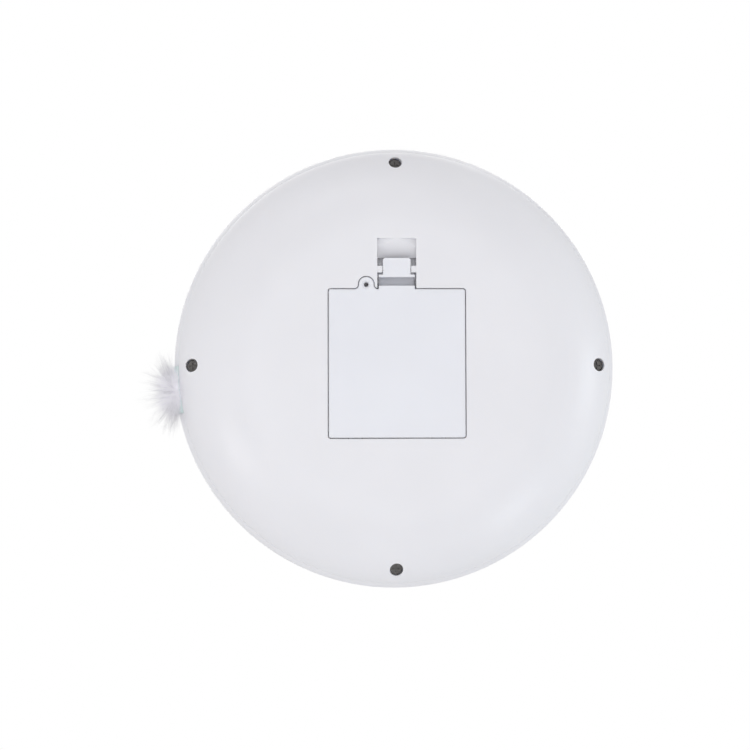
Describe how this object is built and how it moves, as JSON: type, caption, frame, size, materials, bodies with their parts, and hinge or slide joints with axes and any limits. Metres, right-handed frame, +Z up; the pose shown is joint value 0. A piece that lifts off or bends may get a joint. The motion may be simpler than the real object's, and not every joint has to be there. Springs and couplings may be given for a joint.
{
  "type": "automatic cat laser toy",
  "caption": "Battery-powered automatic cat toy: a round low housing with a turning laser turret on top and a wagging fur plume at the rim.",
  "frame": {"origin": "centre of the round housing on its flat base plane", "axes": "+Z up through the turret, +X towards the side where the plume leaves the rim, -Y where the laser window looks at rest"},
  "size_m": [0.2287, 0.21, 0.0932],
  "materials": {
    "shell": "satin white injection-moulded plastic",
    "door": "satin white plastic",
    "grommet": "satin mint plastic",
    "cell": "plain dark wrap with bare steel ends",
    "contact": "nickel-plated steel sheet",
    "spring": "nickel-plated steel wire",
    "screw": "dark zinc-plated steel",
    "frame": "grey moulded plastic",
    "washer": "natural low-friction plastic",
    "motor": "zinc-plated steel can",
    "shaft": "ground steel",
    "gear": "natural acetal",
    "arm": "mint acetal",
    "fur": "pale grey plush fibre",
    "turret": "white-mint plastic",
    "window": "smoked clear plastic",
    "cradle": "black plastic",
    "mirror": "front-silvered glass",
    "laser": "turned brass barrel",
    "lens": "clear lens",
    "board": "green solder mask on glass-fibre board",
    "chip": "black moulded package",
    "capacitor": "sleeved can with a bare top",
    "switch": "black plastic",
    "plunger": "red-brown plastic",
    "led": "clear epoxy over a white base",
    "button": "satin mint plastic",
    "pipe": "clear acrylic rod",
    "red_wire": "red flexible insulation",
    "black_wire": "black flexible insulation"
  },
  "bodies": {
    "housing": {"lower_shell": "shell", "upper_shell": "shell", "exit_grommet": "grommet", "battery_cells": "cell", "battery_contacts": "contact", "battery_springs": "spring", "housing_screws": "screw", "drive_frame": "frame", "frame_screws": "screw", "thrust_washer": "washer", "turret_motor": "motor", "plume_motor": "motor", "motor_screws": "screw", "arm_pivot_pin": "shaft", "reduction_axle": "shaft", "retaining_clips": "washer", "laser_module": "laser", "laser_lens": "lens", "main_board": "board", "board_screws": "screw", "control_chip": "chip", "capacitor": "capacitor", "tact_switch": "switch", "status_led": "led", "light_pipe": "pipe", "red_leads": "red_wire", "black_leads": "black_wire"},
    "battery_door": {"battery_door": "door"},
    "turret": {"turret_gear": "gear", "turret_base": "frame", "turret_screws": "screw", "turret_cover": "turret", "turret_window": "window"},
    "turret_drive": {"turret_pinion": "gear", "turret_motor_shaft": "shaft"},
    "mirror": {"mirror_cradle": "cradle", "mirror": "mirror"},
    "wag": {"wag_arm": "arm", "plume_cup": "grommet", "plume": "fur"},
    "reduction": {"reduction_gear": "gear"},
    "plume_drive": {"plume_pinion": "gear", "plume_motor_shaft": "shaft"},
    "button": {"mode_button": "button", "switch_plunger": "plunger"}
  },
  "joints": [
    {"name": "battery_door_hinge", "type": "hinge", "parent": "housing", "child": "battery_door", "pos_m": [0, -0.034, 0.00015], "axis": [-1, 0, 0], "range_deg": [0, 60]},
    {"name": "turret_spin", "type": "hinge", "parent": "housing", "child": "turret", "pos_m": [0, 0, 0.0298], "axis": [0, 0, 1], "continuous": true},
    {"name": "turret_drive_spin", "type": "hinge", "parent": "housing", "child": "turret_drive", "pos_m": [-0.042, 0, 0.0298], "axis": [0, 0, 1], "continuous": true},
    {"name": "mirror_tilt", "type": "hinge", "parent": "turret", "child": "mirror", "pos_m": [0, 0, 0.0765], "axis": [1, 0, 0], "range_deg": [-10, 10]},
    {"name": "plume_wag", "type": "hinge", "parent": "housing", "child": "wag", "pos_m": [0.07956, -0.00836, 0.0336], "axis": [0, 0, 1], "range_deg": [-10, 10]},
    {"name": "reduction_spin", "type": "hinge", "parent": "housing", "child": "reduction", "pos_m": [0.0537, -0.00564, 0.03], "axis": [0, 0, 1], "range_deg": [-33.4, 33.4]},
    {"name": "plume_drive_spin", "type": "hinge", "parent": "housing", "child": "plume_drive", "pos_m": [0.04652, -0.02538, 0.03], "axis": [0, 0, 1], "range_deg": [-83.4, 83.4]},
    {"name": "button_press", "type": "slide", "parent": "housing", "child": "button", "axis": [0, 0, -1], "range_m": [0, 0.0008], "stiffness_N_per_m": 500, "springref_m": -0.002}
  ],
  "couplings": [
    {"joint": "turret_drive_spin", "follows": "turret_spin", "ratio": -6},
    {"joint": "reduction_spin", "follows": "plume_wag", "ratio": -3.3333},
    {"joint": "plume_drive_spin", "follows": "plume_wag", "ratio": 8.3333}
  ]
}
